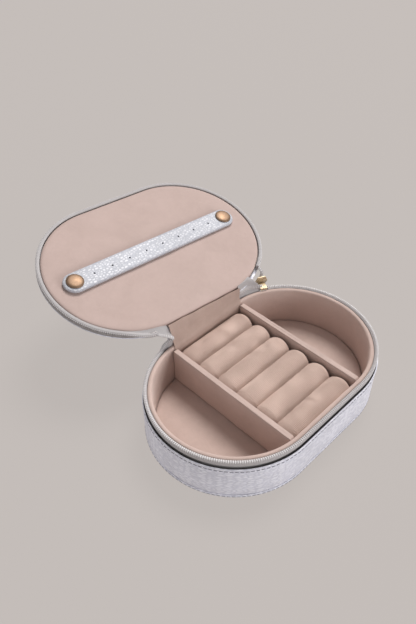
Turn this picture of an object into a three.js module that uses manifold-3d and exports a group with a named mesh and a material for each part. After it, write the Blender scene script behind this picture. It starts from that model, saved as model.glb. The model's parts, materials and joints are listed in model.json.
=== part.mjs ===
// A travel jewelry case with round ends: a leather-covered base with a velvet lining, two dividers and six
// ring rolls, a zip round the rim, and a thin padded lid on a cloth hinge with an earring strap inside.
// Millimetres, +Z up. The origin is the middle of the base's underside, X runs along the case, and the
// hinge is on the +Y side. The model stands open, as the case does when it is in use.
import * as THREE from "three";
import { mergeVertices } from "three/addons/utils/BufferGeometryUtils.js";
import Module from "manifold-3d";

const wasm = await Module();
wasm.setup();

// ---- Driving dimensions ----
const CASE_LENGTH = 170;
const CASE_WIDTH = 113;
const END_RADIUS = CASE_WIDTH / 2;
const END_CENTRE_X = CASE_LENGTH / 2 - END_RADIUS;
const ARC_STEPS = 12;
const PIN_SIDES = 12;
const EYE_SIDES = 16;
const CAP_SIDES = 24;
const EARRING_HOLE_SIDES = 10;
const CLEARANCE = 0.3;

// Base, from the table up. An inset is measured inwards from the outside of the case.
const BOTTOM_PANEL = 0.8;
const BOTTOM_BOARD = 1.5;
const WELT_HEIGHT = 2.3;
const WELT_WIDTH = 2;
const WELT_ROUND = 0.7;
const WALL_TOP = 28.8;
const LEATHER = 1;
const TAPE_INSET = 1.7;
const TAPE_THICKNESS = 0.6;
const TAPE_HIDDEN_DEPTH = 4.8;
const COIL_INSET = 0.9;
const COIL_WIDTH = 1.8;
const COIL_HEIGHT = 1.5;
const COIL_TOP = 34.9;
const COIL_ROUND = 0.4;
const LINING_INSET = 3.3;
const LINING_THICKNESS = 3;
const LINING_TOP = 33.8;
const LINING_ROUND = 1.1;
const FLOOR_PAD = 2.4;
const DIVIDER_X = 31.9;
const DIVIDER_THICKNESS = 3.8;
const DIVIDER_TOP = 31.9;
const DIVIDER_CORNER = 1.2;
const ROLL_COUNT = 6;
const ROLL_TOP = 29.3;
const ROLL_GAP = 0.4;
const ROLL_END_GAP = 0.6;
const ROLL_END_ROUND = 2;

// Lid, measured up from the plane of its zip when the case is shut.
const SHUT_GAP = 1.4;
const LID_PLANE = COIL_TOP + SHUT_GAP;
const LID_COIL_INSET = 0.3;
const LID_COIL_WIDTH = 2.1;
const LID_TAPE_INSET = 1.2;
const LID_TAPE_TOP = 4.6;
const LID_EDGE_BOTTOM = 2.6;
const LID_PAD_INSET = 2.7;
const LID_PAD_BOTTOM = 0.3;
const LID_PAD_TOP = 3.3;
const LID_PAD_ROUND = 0.8;
const LID_BOARD_INSET = 2.2;
const LID_BOARD_TOP = 4.9;
const LID_COVER_THICKNESS = 0.8;
const LID_COVER_ROUND = 0.3;

// The cloth hinge lets the open lid lie a degree or two askew, so the line it turns on is a little askew too.
const HINGE_POINT = new THREE.Vector3(0, 55.45, 42.5);
const HINGE_AXIS = new THREE.Vector3(1, -0.0344, -0.0241).normalize();
const OPEN_ANGLE = THREE.MathUtils.degToRad(163.9);
const HINGE_HALF_WIDTH = 31.5;
const HINGE_SIDE_GAP = 0.4;

// Each piece of cloth at the hinge runs from a low line to a high one, given here by their (y, z) places.
const INNER_PANEL_LOW = new THREE.Vector2(51.2, 34.6);
const INNER_PANEL_HIGH = new THREE.Vector2(51.9, 44.8);
const INNER_PANEL_THICKNESS = 0.8;
const OUTER_PANEL_LOW = new THREE.Vector2(56, 29.6);
const OUTER_PANEL_HIGH = new THREE.Vector2(55.6, 38.4);
const OUTER_PANEL_THICKNESS = 0.9;
const ZIP_END_BOTTOM = COIL_TOP + 0.5;
const ZIP_TAIL_LOW = new THREE.Vector2(51.7, ZIP_END_BOTTOM);
const ZIP_TAIL_HIGH = new THREE.Vector2(51.7, 42.6);
const ZIP_TAB_LOW = new THREE.Vector2(54, ZIP_END_BOTTOM);
const ZIP_TAB_HIGH = new THREE.Vector2(54, 39.4);

// Earring strap, on the lid's lining.
const STRAP_CENTRE = new THREE.Vector2(-0.7, -1.1);
const SNAP_SPACING = 128.8;
const STRAP_WIDTH = 15.8;
const STRAP_THICKNESS = 2.6;
const STRAP_ROUND = 0.6;
const STRAP_LIFT = -0.1;
const EARRING_HOLES = 8;
const EARRING_HOLE_SPACING = 14.17;
const EARRING_HOLE_RADIUS = 0.8;
const SNAP_HOLE_RADIUS = 2.6;
const SNAP_STUD_RADIUS = 2.1;
const SNAP_STUD_HEIGHT = 1.1;
const SNAP_CAP_RADIUS = 5.9;
const SNAP_CAP_RISE = 1.4;
const HOLE_OVERRUN = 1;

// Zip: the slider is parked at the right end of the hinge.
const PARK_ANGLE = THREE.MathUtils.degToRad(62.5);
const ZIP_LEFT_END_X = -40;
const ZIP_TAIL_END_X = 47;
const ZIP_CUT_ANGLE = THREE.MathUtils.degToRad(59);
const SLIDER_LENGTH = 5;
const SLIDER_PLATE = 0.8;
const SLIDER_PLATE_INSET = -0.3;
const SLIDER_WEB = 0.8;
const SLIDER_BELOW_COIL_TOP = 3.6;
const SLIDER_ABOVE_COIL_TOP = 1.5;
const SLIDER_INNER_DEPTH = 1.9;
const SLIDER_CORNER = 0.2;
const SLIDER_LAP = 0.1;
const EAR_LENGTH = 0.7;
const EAR_OFFSET = 1.6;
const EAR_HALF_HEIGHT = 0.8;
const EAR_PAST_PIN = 0.6;
const PULL_PIN_INSET = -2.7;
const PULL_PIN_Z = 32.4;
const PULL_PIN_RADIUS = 0.45;
const PULL_EYE_RADIUS = 0.8;
const PULL_WIDTH = 9.6;
const PULL_LENGTH = 9.6;
const PULL_THICKNESS = 0.9;
const PULL_LEAN = THREE.MathUtils.degToRad(-6);
const PULL_NECK_HALF = 1;
const PULL_NECK_BOTTOM = -1.3;
const PULL_NECK_TOP = 1.4;
const PULL_SHOULDER = 2.2;
const PULL_END_SHARE = 0.62;
const PULL_WIDEST_SHARE = 0.55;
const PULL_EDGE_ROUND = 0.2;
const PULL_BOSS_RADIUS = 1.25;

// ---- Finishes ----
const finish = (color, roughness, metalness) => ({ color, roughness, metalness });
const SILVER_LEATHER = finish(0xc4c4d0, 0.45, 0.35);
const VELVET = finish(0xcfb8ad, 0.95, 0);
const ROLL_VELVET = finish(0xd0b4a3, 0.95, 0);
const ZIP_TAPE = finish(0xcdc8c8, 0.85, 0);
const ZIP_COIL = finish(0xd5d2d2, 0.5, 0);
const GREY_BOARD = finish(0x9a938c, 0.9, 0);
const GOLD = finish(0xdcbe91, 0.28, 1);

// ---- Outlines ----

// The case's plan outline, moved inwards: two straight sides and two half rounds.
function stadium(inset, PathClass = THREE.Shape) {
  const r = END_RADIUS - inset;
  const path = new PathClass();
  path.moveTo(-END_CENTRE_X, -r);
  path.lineTo(END_CENTRE_X, -r);
  path.absarc(END_CENTRE_X, 0, r, -Math.PI / 2, Math.PI / 2, false);
  path.lineTo(-END_CENTRE_X, r);
  path.absarc(-END_CENTRE_X, 0, r, Math.PI / 2, 1.5 * Math.PI, false);
  return path;
}

// A closed band between two insets.
function band(outerInset, width) {
  const shape = stadium(outerInset);
  shape.holes.push(stadium(outerInset + width, THREE.Path));
  return shape;
}

// A band that stops at the hinge: it starts on the back edge at leftX, runs round the left end, the front
// and the right end, and stops on the right end's arc at rightAngle.
function zipBand(outerInset, width, leftX = ZIP_LEFT_END_X, rightAngle = ZIP_CUT_ANGLE) {
  const outer = END_RADIUS - outerInset;
  const inner = outer - width;
  const leftAngle = Math.PI / 2 + Math.asin((-END_CENTRE_X - leftX) / outer);
  const shape = new THREE.Shape();
  shape.absarc(-END_CENTRE_X, 0, outer, leftAngle, 1.5 * Math.PI, false);
  shape.lineTo(END_CENTRE_X, -outer);
  shape.absarc(END_CENTRE_X, 0, outer, -Math.PI / 2, rightAngle, false);
  shape.absarc(END_CENTRE_X, 0, inner, rightAngle, -Math.PI / 2, true);
  shape.lineTo(-END_CENTRE_X, -inner);
  shape.absarc(-END_CENTRE_X, 0, inner, 1.5 * Math.PI, leftAngle, true);
  return shape;
}

// A rectangle with rounded corners round the origin.
function roundedRectangle(width, height, radius) {
  const x = width / 2 - radius;
  const y = height / 2 - radius;
  const shape = new THREE.Shape();
  shape.absarc(x, -y, radius, -Math.PI / 2, 0, false);
  shape.absarc(x, y, radius, 0, Math.PI / 2, false);
  shape.absarc(-x, y, radius, Math.PI / 2, Math.PI, false);
  shape.absarc(-x, -y, radius, Math.PI, 1.5 * Math.PI, false);
  return shape;
}

// A bar with half-round ends, along X and round the origin.
function bar(length, width) {
  const radius = width / 2;
  const x = length / 2 - radius;
  const shape = new THREE.Shape();
  shape.absarc(x, 0, radius, -Math.PI / 2, Math.PI / 2, false);
  shape.absarc(-x, 0, radius, Math.PI / 2, 1.5 * Math.PI, false);
  return shape;
}

// ---- Solids ----

// A flat outline raised from one height to another. Both edges can be rounded off without growing it.
function slab(shape, bottom, top, { round = 0, roundSteps = 1, steps = ARC_STEPS } = {}) {
  const geometry = new THREE.ExtrudeGeometry(shape, {
    depth: top - bottom - 2 * round,
    bevelEnabled: round > 0,
    bevelThickness: round,
    bevelSize: round,
    bevelOffset: -round,
    bevelSegments: roundSteps,
    curveSegments: steps,
  });
  geometry.translate(0, 0, bottom + round);
  return geometry;
}

function toSolid(geometry) {
  const bare = geometry.clone();
  bare.deleteAttribute("normal");
  bare.deleteAttribute("uv");
  const merged = mergeVertices(bare, 1e-3);
  return new wasm.Manifold(
    new wasm.Mesh({
      numProp: 3,
      vertProperties: merged.attributes.position.array,
      triVerts: new Uint32Array(merged.index.array),
    }),
  );
}

function toGeometry(solid) {
  const mesh = solid.getMesh();
  const geometry = new THREE.BufferGeometry();
  geometry.setAttribute("position", new THREE.BufferAttribute(mesh.vertProperties, 3));
  geometry.setIndex(new THREE.BufferAttribute(mesh.triVerts, 1));
  geometry.computeVertexNormals();
  return geometry;
}

const join = (...geometries) => toGeometry(geometries.map(toSolid).reduce((a, b) => a.add(b)));
const cut = (body, ...tools) => toGeometry(tools.map(toSolid).reduce((a, b) => a.subtract(b), toSolid(body)));

// An upright pin or hole between two heights.
function post(x, y, radius, bottom, top, sides = 20) {
  const geometry = new THREE.CylinderGeometry(radius, radius, top - bottom, sides);
  geometry.rotateX(Math.PI / 2);
  geometry.translate(x, y, (bottom + top) / 2);
  return geometry;
}

function part(parent, name, geometry, look) {
  const mesh = new THREE.Mesh(geometry, new THREE.MeshStandardMaterial(look));
  mesh.name = name;
  parent.add(mesh);
  return mesh;
}

// ---- Base: leather shell, boards, lining, dividers, ring rolls and its half of the zip ----
function buildBase() {
  const base = new THREE.Group();
  const boardTop = BOTTOM_PANEL + CLEARANCE + BOTTOM_BOARD;
  const weltTop = CLEARANCE + WELT_HEIGHT;
  const wallBottom = weltTop + CLEARANCE;
  const floorBottom = boardTop + CLEARANCE;
  const floorTop = floorBottom + FLOOR_PAD;
  const liningInside = LINING_INSET + LINING_THICKNESS;
  const tapeBottom = WALL_TOP - TAPE_HIDDEN_DEPTH;
  const coilBottom = COIL_TOP - COIL_HEIGHT;

  const underside = slab(stadium(WELT_WIDTH + CLEARANCE), 0, BOTTOM_PANEL);
  part(base, "bottom_panel", underside, SILVER_LEATHER);
  const board = slab(stadium(WELT_WIDTH + 2 * CLEARANCE), BOTTOM_PANEL + CLEARANCE, boardTop);
  part(base, "bottom_board", board, GREY_BOARD);
  const welt = slab(band(0, WELT_WIDTH), CLEARANCE, weltTop, { round: WELT_ROUND });
  part(base, "bottom_welt", welt, SILVER_LEATHER);
  part(base, "side_wall", slab(band(0, LEATHER), wallBottom, WALL_TOP), SILVER_LEATHER);
  const wallBoard = slab(
    band(TAPE_INSET, LINING_INSET - TAPE_INSET - CLEARANCE),
    wallBottom,
    tapeBottom - CLEARANCE,
  );
  part(base, "wall_board", wallBoard, GREY_BOARD);
  const lining = slab(band(LINING_INSET, LINING_THICKNESS), floorBottom, LINING_TOP, { round: LINING_ROUND });
  part(base, "lining_wall", lining, VELVET);
  part(base, "floor_pad", slab(stadium(liningInside + CLEARANCE), floorBottom, floorTop), VELVET);

  // The dividers stop just short of the lining.
  const innerRadius = END_RADIUS - liningInside;
  const dividerReach = DIVIDER_X + DIVIDER_THICKNESS / 2 - END_CENTRE_X;
  const dividerHalf = Math.sqrt(innerRadius ** 2 - dividerReach ** 2) - CLEARANCE;
  const dividerHeight = DIVIDER_TOP - floorTop - CLEARANCE;
  for (const [side, name] of [[-1, "divider_left"], [1, "divider_right"]]) {
    const profile = roundedRectangle(DIVIDER_THICKNESS, dividerHeight, DIVIDER_CORNER);
    const divider = slab(profile, -dividerHalf, dividerHalf, { steps: 3 });
    divider.rotateX(Math.PI / 2);
    divider.translate(side * DIVIDER_X, 0, DIVIDER_TOP - dividerHeight / 2);
    part(base, name, divider, VELVET);
  }

  // Ring rolls: foam bars in velvet, side by side from the hinge to the front.
  const rollPitch = (2 * (innerRadius - CLEARANCE)) / ROLL_COUNT;
  const rollWidth = rollPitch - ROLL_GAP;
  const rollHeight = ROLL_TOP - floorTop - CLEARANCE;
  const rollHalf = DIVIDER_X - DIVIDER_THICKNESS / 2 - ROLL_END_GAP;
  for (let i = 0; i < ROLL_COUNT; i++) {
    const profile = bar(rollHeight, rollWidth);
    const roll = slab(profile, -rollHalf, rollHalf, { round: ROLL_END_ROUND, roundSteps: 2, steps: 6 });
    roll.rotateY(Math.PI / 2);
    roll.translate(0, ((ROLL_COUNT - 1) / 2 - i) * rollPitch, ROLL_TOP - rollHeight / 2);
    part(base, `ring_roll_${i + 1}`, roll, ROLL_VELVET);
  }

  const tape = slab(zipBand(TAPE_INSET, TAPE_THICKNESS), tapeBottom, coilBottom - CLEARANCE);
  part(base, "base_zip_tape", tape, ZIP_TAPE);
  const coil = slab(zipBand(COIL_INSET, COIL_WIDTH), coilBottom, COIL_TOP, { round: COIL_ROUND });
  part(base, "base_zip_coil", coil, ZIP_COIL);
  return base;
}

// ---- Lid: built shut over the base, then turned open about the hinge ----
function buildLid() {
  const lid = new THREE.Group();
  const coverBottom = LID_BOARD_TOP + CLEARANCE;
  const coil = slab(zipBand(LID_COIL_INSET, LID_COIL_WIDTH), 0, COIL_HEIGHT, { round: COIL_ROUND });
  part(lid, "lid_zip_coil", coil, ZIP_COIL);
  const tape = slab(zipBand(LID_TAPE_INSET, TAPE_THICKNESS), COIL_HEIGHT + CLEARANCE, LID_TAPE_TOP);
  part(lid, "lid_zip_tape", tape, ZIP_TAPE);
  const edge = slab(zipBand(0, TAPE_THICKNESS + CLEARANCE), LID_EDGE_BOTTOM, LID_BOARD_TOP);
  part(lid, "lid_edge_band", edge, SILVER_LEATHER);
  const pad = slab(stadium(LID_PAD_INSET), LID_PAD_BOTTOM, LID_PAD_TOP, { round: LID_PAD_ROUND });
  part(lid, "lid_lining_pad", pad, VELVET);
  const board = slab(stadium(LID_BOARD_INSET), LID_PAD_TOP + CLEARANCE, LID_BOARD_TOP);
  part(lid, "lid_board", board, GREY_BOARD);
  const cover = slab(stadium(0), coverBottom, coverBottom + LID_COVER_THICKNESS, {
    round: LID_COVER_ROUND,
  });
  part(lid, "lid_cover", cover, SILVER_LEATHER);

  // Male halves of the two snaps, fixed through the lining.
  for (const [side, name] of [[-1, "snap_stud_left"], [1, "snap_stud_right"]]) {
    const x = STRAP_CENTRE.x + (side * SNAP_SPACING) / 2;
    const stud = post(x, STRAP_CENTRE.y, SNAP_STUD_RADIUS, -SNAP_STUD_HEIGHT, LID_PAD_BOTTOM - CLEARANCE);
    part(lid, name, stud, GOLD);
  }
  lid.add(buildStrap());
  lid.position.z = LID_PLANE;
  return lid;
}

// ---- Earring strap and its two snap caps, hanging from the lid's lining ----
function buildStrap() {
  const strap = new THREE.Group();
  const strapLength = SNAP_SPACING + STRAP_WIDTH;
  const outline = bar(strapLength, STRAP_WIDTH);
  const near = STRAP_LIFT;
  const far = STRAP_LIFT - STRAP_THICKNESS;
  const holeBottom = far - HOLE_OVERRUN;
  const holeTop = near + HOLE_OVERRUN;
  const holes = [];
  for (let i = 0; i < EARRING_HOLES; i++) {
    const x = (i - (EARRING_HOLES - 1) / 2) * EARRING_HOLE_SPACING;
    holes.push(post(x, 0, EARRING_HOLE_RADIUS, holeBottom, holeTop, EARRING_HOLE_SIDES));
  }
  for (const side of [-1, 1]) {
    holes.push(post((side * SNAP_SPACING) / 2, 0, SNAP_HOLE_RADIUS, holeBottom, holeTop));
  }
  const leather = slab(outline, far, near, { round: STRAP_ROUND, steps: 8 });
  part(strap, "earring_strap", cut(leather, ...holes), SILVER_LEATHER);

  // Each cap is a low dome with a stem that reaches into the strap's hole towards the stud.
  const capBase = far - CLEARANCE;
  const stemEnd = -SNAP_STUD_HEIGHT - CLEARANCE;
  const dome = [new THREE.Vector2(0, stemEnd), new THREE.Vector2(SNAP_STUD_RADIUS, stemEnd)];
  dome.push(new THREE.Vector2(SNAP_STUD_RADIUS, capBase));
  dome.push(new THREE.Vector2(SNAP_CAP_RADIUS, capBase));
  const domeSteps = 4;
  for (let i = 1; i <= domeSteps; i++) {
    const t = ((i / domeSteps) * Math.PI) / 2;
    dome.push(new THREE.Vector2(SNAP_CAP_RADIUS * Math.cos(t), capBase - SNAP_CAP_RISE * Math.sin(t)));
  }
  dome[dome.length - 1].x = 0;
  for (const [side, name] of [[-1, "snap_cap_left"], [1, "snap_cap_right"]]) {
    const cap = new THREE.LatheGeometry(dome.toReversed(), CAP_SIDES);
    cap.rotateX(Math.PI / 2);
    cap.translate((side * SNAP_SPACING) / 2, 0, 0);
    part(strap, name, cap, GOLD);
  }
  strap.position.set(STRAP_CENTRE.x, STRAP_CENTRE.y, 0);
  return strap;
}

// ---- Zip slider and pull, built facing +X at the end arc's centre, then turned to where they are parked ----
function buildSlider() {
  const slider = new THREE.Group();
  const block = (fromInset, toInset, bottom, top, length = SLIDER_LENGTH) => {
    const shape = roundedRectangle(toInset - fromInset, length, SLIDER_CORNER);
    const geometry = slab(shape, bottom, top, { steps: 2 });
    return geometry.translate(END_RADIUS - (fromInset + toInset) / 2, 0, 0);
  };
  const plateOut = SLIDER_PLATE_INSET - SLIDER_PLATE;
  const webBottom = COIL_TOP + CLEARANCE;
  const webTop = webBottom + SLIDER_WEB;
  const innerPlate = COIL_INSET + COIL_WIDTH + 2 * CLEARANCE;
  const pinX = END_RADIUS - PULL_PIN_INSET;

  // Two plates joined by a web that runs between the two coils, and two ears that hold the pull's pin.
  const pieces = [
    block(
      plateOut,
      SLIDER_PLATE_INSET,
      COIL_TOP - SLIDER_BELOW_COIL_TOP,
      COIL_TOP + SLIDER_ABOVE_COIL_TOP,
    ),
    block(SLIDER_PLATE_INSET - SLIDER_LAP, innerPlate + SLIDER_LAP, webBottom, webTop),
    block(innerPlate, innerPlate + SLIDER_PLATE, webTop - SLIDER_INNER_DEPTH, webTop),
  ];
  for (const side of [-1, 1]) {
    const ear = block(
      PULL_PIN_INSET - EAR_PAST_PIN,
      plateOut + SLIDER_LAP,
      PULL_PIN_Z - EAR_HALF_HEIGHT,
      PULL_PIN_Z + EAR_HALF_HEIGHT,
      EAR_LENGTH,
    );
    pieces.push(ear.translate(0, side * EAR_OFFSET, 0));
  }
  const pin = new THREE.CylinderGeometry(PULL_PIN_RADIUS, PULL_PIN_RADIUS, 2 * EAR_OFFSET, PIN_SIDES);
  pieces.push(pin.translate(pinX, 0, PULL_PIN_Z));
  part(slider, "zip_slider", join(...pieces), GOLD);

  // The pull is a flat six-sided plate with a narrow eye on the pin. It stands up against the zip.
  const half = PULL_WIDTH / 2;
  const endHalf = half * PULL_END_SHARE;
  const widestAt = PULL_LENGTH * PULL_WIDEST_SHARE;
  const plate = new THREE.Shape();
  plate.moveTo(-PULL_NECK_HALF, PULL_NECK_BOTTOM);
  plate.lineTo(PULL_NECK_HALF, PULL_NECK_BOTTOM);
  plate.lineTo(PULL_NECK_HALF, PULL_NECK_TOP);
  plate.lineTo(endHalf, PULL_SHOULDER);
  plate.lineTo(half, widestAt);
  plate.lineTo(endHalf, PULL_LENGTH);
  plate.lineTo(-endHalf, PULL_LENGTH);
  plate.lineTo(-half, widestAt);
  plate.lineTo(-endHalf, PULL_SHOULDER);
  plate.lineTo(-PULL_NECK_HALF, PULL_NECK_TOP);
  const body = slab(plate, -PULL_THICKNESS / 2, PULL_THICKNESS / 2, { round: PULL_EDGE_ROUND });
  // A plate this thin can't hold a whole eye round the pin, so the eye is a boss as wide as the plate's neck.
  const tube = (radius, length) =>
    new THREE.CylinderGeometry(radius, radius, length, EYE_SIDES).rotateZ(Math.PI / 2);
  const boss = tube(PULL_BOSS_RADIUS, 2 * PULL_NECK_HALF);
  const eye = tube(PULL_EYE_RADIUS, 2 * (PULL_NECK_HALF + HOLE_OVERRUN));
  const pull = part(slider, "zip_pull", cut(join(body, boss), eye), GOLD);
  const upThePlate = new THREE.Vector3(Math.sin(PULL_LEAN), 0, Math.cos(PULL_LEAN));
  const acrossThePlate = new THREE.Vector3(0, 1, 0);
  const outOfThePlate = new THREE.Vector3().crossVectors(acrossThePlate, upThePlate);
  pull.quaternion.setFromRotationMatrix(
    new THREE.Matrix4().makeBasis(acrossThePlate, upThePlate, outOfThePlate),
  );
  pull.position.set(pinX, 0, PULL_PIN_Z);

  slider.rotation.z = PARK_ANGLE;
  slider.position.x = END_CENTRE_X;
  return slider;
}

// ---- Cloth between base and lid: a velvet strip inside, a leather strip outside, and the zip's two ends ----
function buildHinge() {
  const hinge = new THREE.Group();
  // A strip of cloth across the hinge.
  const strip = (low, high, thickness, fromX, toX) => {
    const along = new THREE.Vector2().subVectors(high, low);
    const across = new THREE.Vector2(-along.y, along.x).setLength(thickness / 2);
    const shape = new THREE.Shape([
      low.clone().sub(across),
      high.clone().sub(across),
      high.clone().add(across),
      low.clone().add(across),
    ]);
    const geometry = slab(shape, fromX, toX);
    // The outline was drawn in (y, z): turn the extrusion so that its depth runs along X.
    geometry.applyMatrix4(new THREE.Matrix4().set(0, 0, 1, 0, 1, 0, 0, 0, 0, 1, 0, 0, 0, 0, 0, 1));
    return geometry;
  };
  const w = HINGE_HALF_WIDTH;
  const side = w + HINGE_SIDE_GAP;
  // The zip's fixed end, still closed, lies beside the strips on the right, and its open end's tab on the left.
  const tail = strip(ZIP_TAIL_LOW, ZIP_TAIL_HIGH, TAPE_THICKNESS, side, ZIP_TAIL_END_X);
  part(hinge, "zip_tail", tail, ZIP_TAPE);
  const tab = strip(ZIP_TAB_LOW, ZIP_TAB_HIGH, TAPE_THICKNESS, ZIP_LEFT_END_X, -side);
  part(hinge, "zip_end_tab", tab, ZIP_TAPE);
  const inner = strip(INNER_PANEL_LOW, INNER_PANEL_HIGH, INNER_PANEL_THICKNESS, -w, w);
  part(hinge, "hinge_inner_panel", inner, VELVET);
  const outer = strip(OUTER_PANEL_LOW, OUTER_PANEL_HIGH, OUTER_PANEL_THICKNESS, -w, w);
  part(hinge, "hinge_outer_panel", outer, SILVER_LEATHER);
  return hinge;
}

const jewelryCase = new THREE.Group();
jewelryCase.add(buildBase());
jewelryCase.add(buildSlider());
jewelryCase.add(buildHinge());

const openLid = new THREE.Group();
openLid.position.copy(HINGE_POINT);
openLid.quaternion.setFromAxisAngle(HINGE_AXIS, -OPEN_ANGLE);
const shutLid = new THREE.Group();
shutLid.position.copy(HINGE_POINT).negate();
shutLid.add(buildLid());
openLid.add(shutLid);
jewelryCase.add(openLid);

export default jewelryCase;
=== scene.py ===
import json
import math

import bpy
from mathutils import Matrix, Vector, noise


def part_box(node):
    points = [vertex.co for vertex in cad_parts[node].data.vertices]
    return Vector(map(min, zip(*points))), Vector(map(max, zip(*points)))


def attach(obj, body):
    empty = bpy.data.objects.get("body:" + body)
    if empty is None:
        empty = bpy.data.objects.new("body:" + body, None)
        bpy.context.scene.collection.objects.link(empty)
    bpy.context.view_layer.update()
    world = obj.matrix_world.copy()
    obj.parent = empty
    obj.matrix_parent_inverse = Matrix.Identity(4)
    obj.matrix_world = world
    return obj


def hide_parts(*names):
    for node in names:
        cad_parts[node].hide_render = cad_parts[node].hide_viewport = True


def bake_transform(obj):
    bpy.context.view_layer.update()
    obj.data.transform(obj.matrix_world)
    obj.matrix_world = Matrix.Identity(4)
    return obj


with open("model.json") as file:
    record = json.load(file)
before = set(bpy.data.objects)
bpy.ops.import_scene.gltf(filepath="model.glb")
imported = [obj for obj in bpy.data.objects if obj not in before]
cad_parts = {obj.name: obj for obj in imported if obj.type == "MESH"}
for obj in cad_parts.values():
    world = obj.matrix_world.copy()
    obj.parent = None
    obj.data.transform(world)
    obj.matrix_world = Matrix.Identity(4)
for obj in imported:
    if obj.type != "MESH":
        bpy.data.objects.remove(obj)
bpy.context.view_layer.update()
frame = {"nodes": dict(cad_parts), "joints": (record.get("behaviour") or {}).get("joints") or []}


# ---- Outer shell ----
# The base is a board box covered in pebbled leather with a silver finish. The leather is turned in over
# the top edge and sewn, and a sewn welt runs round the foot where the side meets the bottom panel.
MM = 0.001
wall_low, wall_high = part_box("side_wall")
END_RADIUS = wall_high.y
END_X = wall_high.x - END_RADIUS
ROUND_STEPS = 40
STRAIGHT_STEPS = 12


def let_go():
    """Leaves edit mode and deselects all, because an operator acts on everything that is selected."""
    if bpy.context.object and bpy.context.object.mode == "EDIT":
        bpy.ops.object.mode_set(mode="OBJECT")
    bpy.ops.object.select_all(action="DESELECT")


def edit_all():
    """Goes into edit mode, or stays there, with the whole mesh selected."""
    bpy.ops.object.mode_set(mode="EDIT")
    bpy.ops.mesh.select_all(action="SELECT")


def rim_point(inset, height, angle=-90.0):
    """A place on the right end, in from the outside of the case and up from the table, in millimetres."""
    radius = END_RADIUS - inset * MM
    turn = math.radians(angle)
    return Vector((END_X + radius * math.cos(turn), radius * math.sin(turn), height * MM))


def raised(level, outline):
    """An outline whose heights were given from a level of their own, such as the lid's edge."""
    return [(inset, level + height) for inset, height in outline]


def draw(name, points):
    """Draws a line by pulling one vertex from point to point, and stays in edit mode."""
    let_go()
    bpy.ops.mesh.primitive_plane_add(size=MM, location=points[0])
    piece = bpy.context.object
    piece.name = name
    bpy.ops.object.transform_apply(location=True)
    edit_all()
    bpy.ops.mesh.merge(type="CENTER")
    for here, there in zip(points, points[1:]):
        bpy.ops.mesh.extrude_region_move(TRANSFORM_OT_translate={"value": there - here})
    return piece


def run_straight(length, steps=STRAIGHT_STEPS):
    for _ in range(steps):
        bpy.ops.mesh.extrude_region_move(TRANSFORM_OT_translate={"value": (length / steps, 0, 0)})


def tidy_mesh(piece, sharp=40):
    """Merges doubles, closes open ends, turns the faces outwards and smooths what isn't an edge."""
    edit_all()
    bpy.ops.mesh.remove_doubles(threshold=0.002 * MM)
    bpy.ops.mesh.fill_holes(sides=0)
    edit_all()
    bpy.ops.mesh.normals_make_consistent(inside=False)
    bpy.ops.object.mode_set(mode="OBJECT")
    bpy.ops.object.shade_smooth_by_angle(angle=math.radians(sharp))
    return piece


def sweep_round(name, points, half, steps, straight):
    """Draws an outline at the front of the right end and sweeps it once round a shape with round ends."""
    piece = draw(name, points)
    edit_all()
    bpy.ops.mesh.spin(steps=steps, angle=-math.pi, center=(half, 0, 0), axis=(0, 0, 1))
    run_straight(-2 * half, straight)
    bpy.ops.mesh.spin(steps=steps, angle=-math.pi, center=(-half, 0, 0), axis=(0, 0, 1))
    run_straight(2 * half, straight)
    return tidy_mesh(piece)


def sweep_case(name, outline, steps=ROUND_STEPS, straight=STRAIGHT_STEPS):
    """Sweeps an outline of insets and heights, in millimetres, once round the case."""
    return sweep_round(name, [rim_point(*place) for place in outline], END_X, steps, straight)


def soften(piece, amount, size, only=None):
    """Moves the surface a little in and out, as hand-stretched material lies over a board."""
    for vertex in piece.data.vertices:
        if only is None or only(vertex.co):
            vertex.co += vertex.normal * amount * noise.noise(vertex.co / size)


def node(tree, kind, feeds=None, **options):
    """Adds a node, sets its options and fills its sockets with values or with other nodes' outputs."""
    made = tree.nodes.new(kind)
    for option, value in options.items():
        setattr(made, option, value)
    for socket, value in (feeds or {}).items():
        if isinstance(value, bpy.types.NodeSocket):
            tree.links.new(value, made.inputs[socket])
        else:
            made.inputs[socket].default_value = value
    return made


def mix_colour(tree, amount, first, second, blend="MIX"):
    mixed = node(tree, "ShaderNodeMix", {0: amount, 6: first, 7: second}, data_type="RGBA", blend_type=blend)
    return mixed.outputs[2]


def spread(tree, value, low, high, to_low=0.0, to_high=1.0, kind="SMOOTHSTEP"):
    feeds = {0: value, 1: low, 2: high, 3: to_low, 4: to_high}
    return node(tree, "ShaderNodeMapRange", feeds, interpolation_type=kind).outputs[0]


def calculate(tree, operation, first, second=0.0):
    return node(tree, "ShaderNodeMath", {0: first, 1: second}, operation=operation).outputs[0]


def add_share(tree, value, other, share):
    return calculate(tree, "ADD", value, calculate(tree, "MULTIPLY", other, share))


def noise_at(tree, place, scale, detail, distortion=0.0):
    feeds = {"Vector": place, "Scale": scale, "Detail": detail, "Distortion": distortion}
    return node(tree, "ShaderNodeTexNoise", feeds).outputs["Fac"]


SOCKETS_BY_LENGTH = {4: "NodeSocketColor", 3: "NodeSocketVector"}
GROUP_OUTPUTS = {"Color": "NodeSocketColor", "Roughness": "NodeSocketFloat", "Height": "NodeSocketFloat"}


def start_group(name, inputs):
    """A node group with named inputs. Returns its tree, its input sockets and the place on the piece."""
    tree = bpy.data.node_groups.new(name, "ShaderNodeTree")
    for label, value in inputs.items():
        kind = SOCKETS_BY_LENGTH[len(value)] if isinstance(value, tuple) else "NodeSocketFloat"
        tree.interface.new_socket(label, in_out="INPUT", socket_type=kind).default_value = value
    given = tree.nodes.new("NodeGroupInput").outputs
    return tree, given, node(tree, "ShaderNodeTexCoord").outputs["Object"]


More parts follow.
